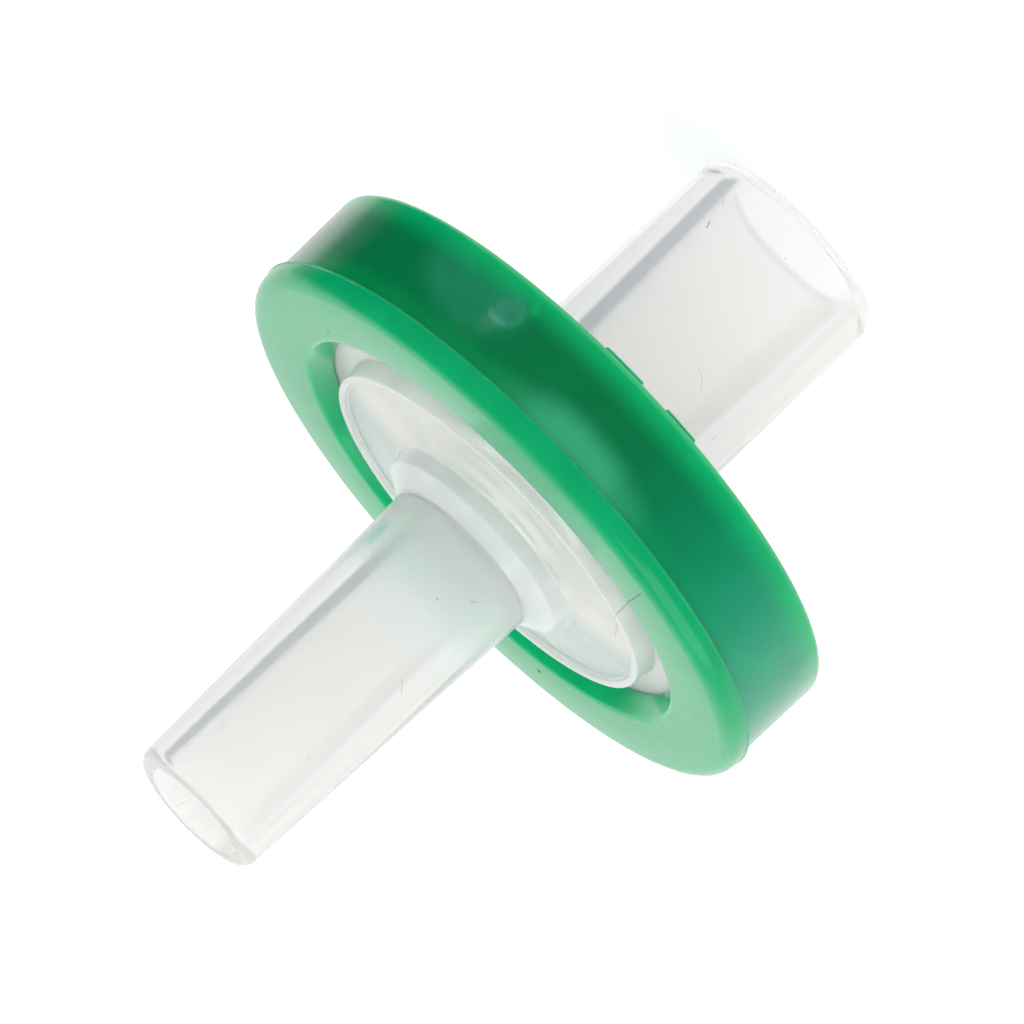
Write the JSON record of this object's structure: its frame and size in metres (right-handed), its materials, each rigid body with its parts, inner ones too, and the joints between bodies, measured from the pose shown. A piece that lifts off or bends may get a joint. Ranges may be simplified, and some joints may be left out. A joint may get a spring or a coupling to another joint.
{
  "type": "syringe filter",
  "caption": "Small round syringe filter: two translucent moulded housings clamp a membrane inside a green overmoulded ring, with a female slip socket in and a male slip tip out.",
  "frame": {"origin": "centre of the inlet tube's end face, on which the filter stands", "axes": "+Z along the flow axis from the inlet to the outlet tip; the injection gate mark is towards +X and -Y"},
  "size_m": [0.0176, 0.0176, 0.0221],
  "materials": {
    "clear_plastic": "translucent natural polypropylene, moulded gloss",
    "membrane": "matt white microporous film",
    "green_plastic": "green translucent polypropylene, satin"
  },
  "bodies": {
    "root": {"inlet_housing": "clear_plastic", "filter_membrane": "membrane", "outlet_housing": "clear_plastic", "overmould_ring": "green_plastic"}
  },
  "joints": []
}
